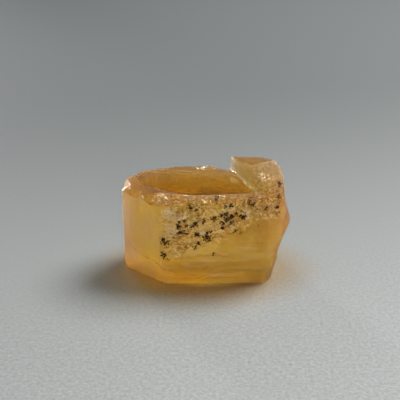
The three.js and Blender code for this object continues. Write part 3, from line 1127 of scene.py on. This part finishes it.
studio = {
    "floor radius": 1.2,
    # the near and far floor colours are painted light at the front and painted shade behind
    "floor near": (0.320, 0.330, 0.322, 1.0),
    "floor far": (0.134, 0.143, 0.142, 1.0),
    # painted light and shade round the stone's foot: a pool of light under it and an amber shadow round it
    "floor lit": (0.34, 0.315, 0.16, 1.0),
    "floor glow": (0.22, 0.145, 0.05, 1.0),
    "floor edge": (0.62, 0.63, 0.63, 1.0),
    "floor roughness": 0.6,
    "floor gleam": 0.2,
    "slant": 0.2,  # how far the floor's painted light and shade turns to the right
    "nearness": (-0.068, 0.058),
    "edge": (0.2, 0.6),
    "foot": (0.0118, 0.0075),  # half the width and depth of the stone's foot
    "foot shift": (0.0, 0.0012, 0.0),
    "glow": (1.35, 0.55),
    "glow strength": 0.8,
    # how far the painted pool of light under the foot reaches
    "lit": (0.6, 0.45),
    "grain shows": (-0.01, 0.02),
    "grain strength": (0.15, 1.0),
    "sky": (0.34, 0.35, 0.35, 1.0),
    "ceiling": (0.17, 0.175, 0.175, 1.0),
    "ceiling starts": (0.2, 0.4),
    "dim": (0.06, 0.06, 0.063, 1.0),
    "wall behind": (0.2, 0.6),
    "wall foot": (0.24, 0.4),
    "wall top": (0.85, 0.7),
    "lamp target": (0.0, 0.0, 0.008),
}

lamps = {  # place, size, power in watts, spread in degrees
    "keyLight": ((0.18, 0.11, 0.29), 0.2, 2.2, 180.0),
    "fillLight": ((0.12, -0.30, 0.16), 0.25, 0.01, 180.0),
    "glintLight": ((0.06, -0.28, 0.12), 0.05, 0.174, 180.0),
    "backLight": ((-0.17, 0.29, 0.035), 0.06, 0.0105, 13.0),
    "rightLight": ((0.20, 0.28, 0.045), 0.06, 0.0012, 13.0),
}

shot = {"elevation": 27.0, "lens": 75.0, "distance": 0.101, "target": (-0.000787, 0.000061, 0.008965)}


def floorColour(tree):
    here = addNode(tree, "ShaderNodeTexCoord").outputs["Object"]
    at = split(tree, here)
    # painted light and shade: the floor is painted lighter towards the front and right and darker behind
    across = total(tree, product(tree, at["X"], studio["slant"]), product(tree, at["Y"], -1.0))
    nearness = ramp(tree, across, *studio["nearness"])
    colour = mixColour(tree, nearness, studio["floor far"], studio["floor near"])
    outward = ramp(tree, vector(tree, "LENGTH", here), *studio["edge"])
    colour = mixColour(tree, outward, colour, studio["floor edge"])
    # a painted amber shadow round the stone's foot and a painted pool of light under it stand in for the
    # light that comes through the stone
    width, depth = studio["foot"]
    foot = stretched(tree, vector(tree, "ADD", here, studio["foot shift"]), (1 / width, 1 / depth, 0.0))
    reach = vector(tree, "LENGTH", foot)
    glow = product(tree, ramp(tree, reach, *studio["glow"]), studio["glow strength"])
    colour = mixColour(tree, glow, colour, studio["floor glow"])
    colour = mixColour(tree, ramp(tree, reach, *studio["lit"]), colour, studio["floor lit"])
    strength = mixValue(tree, ramp(tree, across, *studio["grain shows"]), *studio["grain strength"])
    shade = total(tree, product(tree, lumps(tree, here, "floor grain"), strength), 1.0)
    return vector(tree, "SCALE", colour, shade)


def makeFloor():
    disc = bmesh.new()
    bmesh.ops.create_circle(disc, cap_ends=True, segments=96, radius=studio["floor radius"])
    mesh = bpy.data.meshes.new("floor")
    disc.to_mesh(mesh)
    disc.free()
    made = bpy.data.materials.new("paleFloor")
    made.use_nodes = True
    tree = made.node_tree
    shader = tree.nodes["Principled BSDF"]
    plug(tree, floorColour(tree), shader.inputs["Base Color"])
    shader.inputs["Roughness"].default_value = studio["floor roughness"]
    shader.inputs["Specular IOR Level"].default_value = studio["floor gleam"]
    floor = newObject("floor", mesh)
    mesh.materials.append(made)


def makeSky():
    world = bpy.context.scene.world or bpy.data.worlds.new("studio")
    bpy.context.scene.world = world
    world.use_nodes = True
    tree = world.node_tree
    tree.nodes.clear()
    way = addNode(tree, "ShaderNodeTexCoord").outputs["Generated"]
    at = split(tree, way)
    # a dark wall at the back, above the horizon
    foot = ramp(tree, at["Z"], *studio["wall foot"])
    top = ramp(tree, at["Z"], *studio["wall top"])
    wall = product(tree, ramp(tree, at["Y"], *studio["wall behind"]), foot, top)
    ceiling = ramp(tree, at["Z"], *studio["ceiling starts"])
    colour = mixColour(tree, ceiling, studio["sky"], studio["ceiling"])
    colour = mixColour(tree, wall, colour, studio["dim"])
    lit = addNode(tree, "ShaderNodeBackground", {"Color": colour, "Strength": 1.0})
    addNode(tree, "ShaderNodeOutputWorld", {"Surface": lit.outputs[0]})


def addLight(name, place, size, power, spread):
    lamp = bpy.data.lights.new(name, "AREA")
    lamp.shape = "DISK"
    lamp.size = size
    lamp.energy = power
    lamp.spread = math.radians(spread)
    made = newObject(name, lamp)
    made.location = place
    towards = Vector(studio["lamp target"]) - Vector(place)
    made.rotation_euler = towards.to_track_quat("-Z", "Y").to_euler()
    made.visible_camera = False


def makeCamera():
    lens = bpy.data.cameras.new("camera")
    lens.lens = shot["lens"]
    lens.sensor_width = 36
    lens.clip_start = 0.001
    made = newObject("camera", lens)
    rise = math.radians(shot["elevation"])
    away = Vector((0, -math.cos(rise), math.sin(rise))) * shot["distance"]
    made.location = Vector(shot["target"]) + away
    made.rotation_euler = (-away).to_track_quat("-Z", "Y").to_euler()
    bpy.context.scene.camera = made


makeCamera()
makeFloor()
makeSky()
for lampName, facts in lamps.items():
    addLight(lampName, *facts)
bpy.context.scene.view_settings.view_transform = "Standard"
print("set up floor, light and camera")

crystal = makeStone()
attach(crystal, "root")
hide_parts("topaz_crystal")
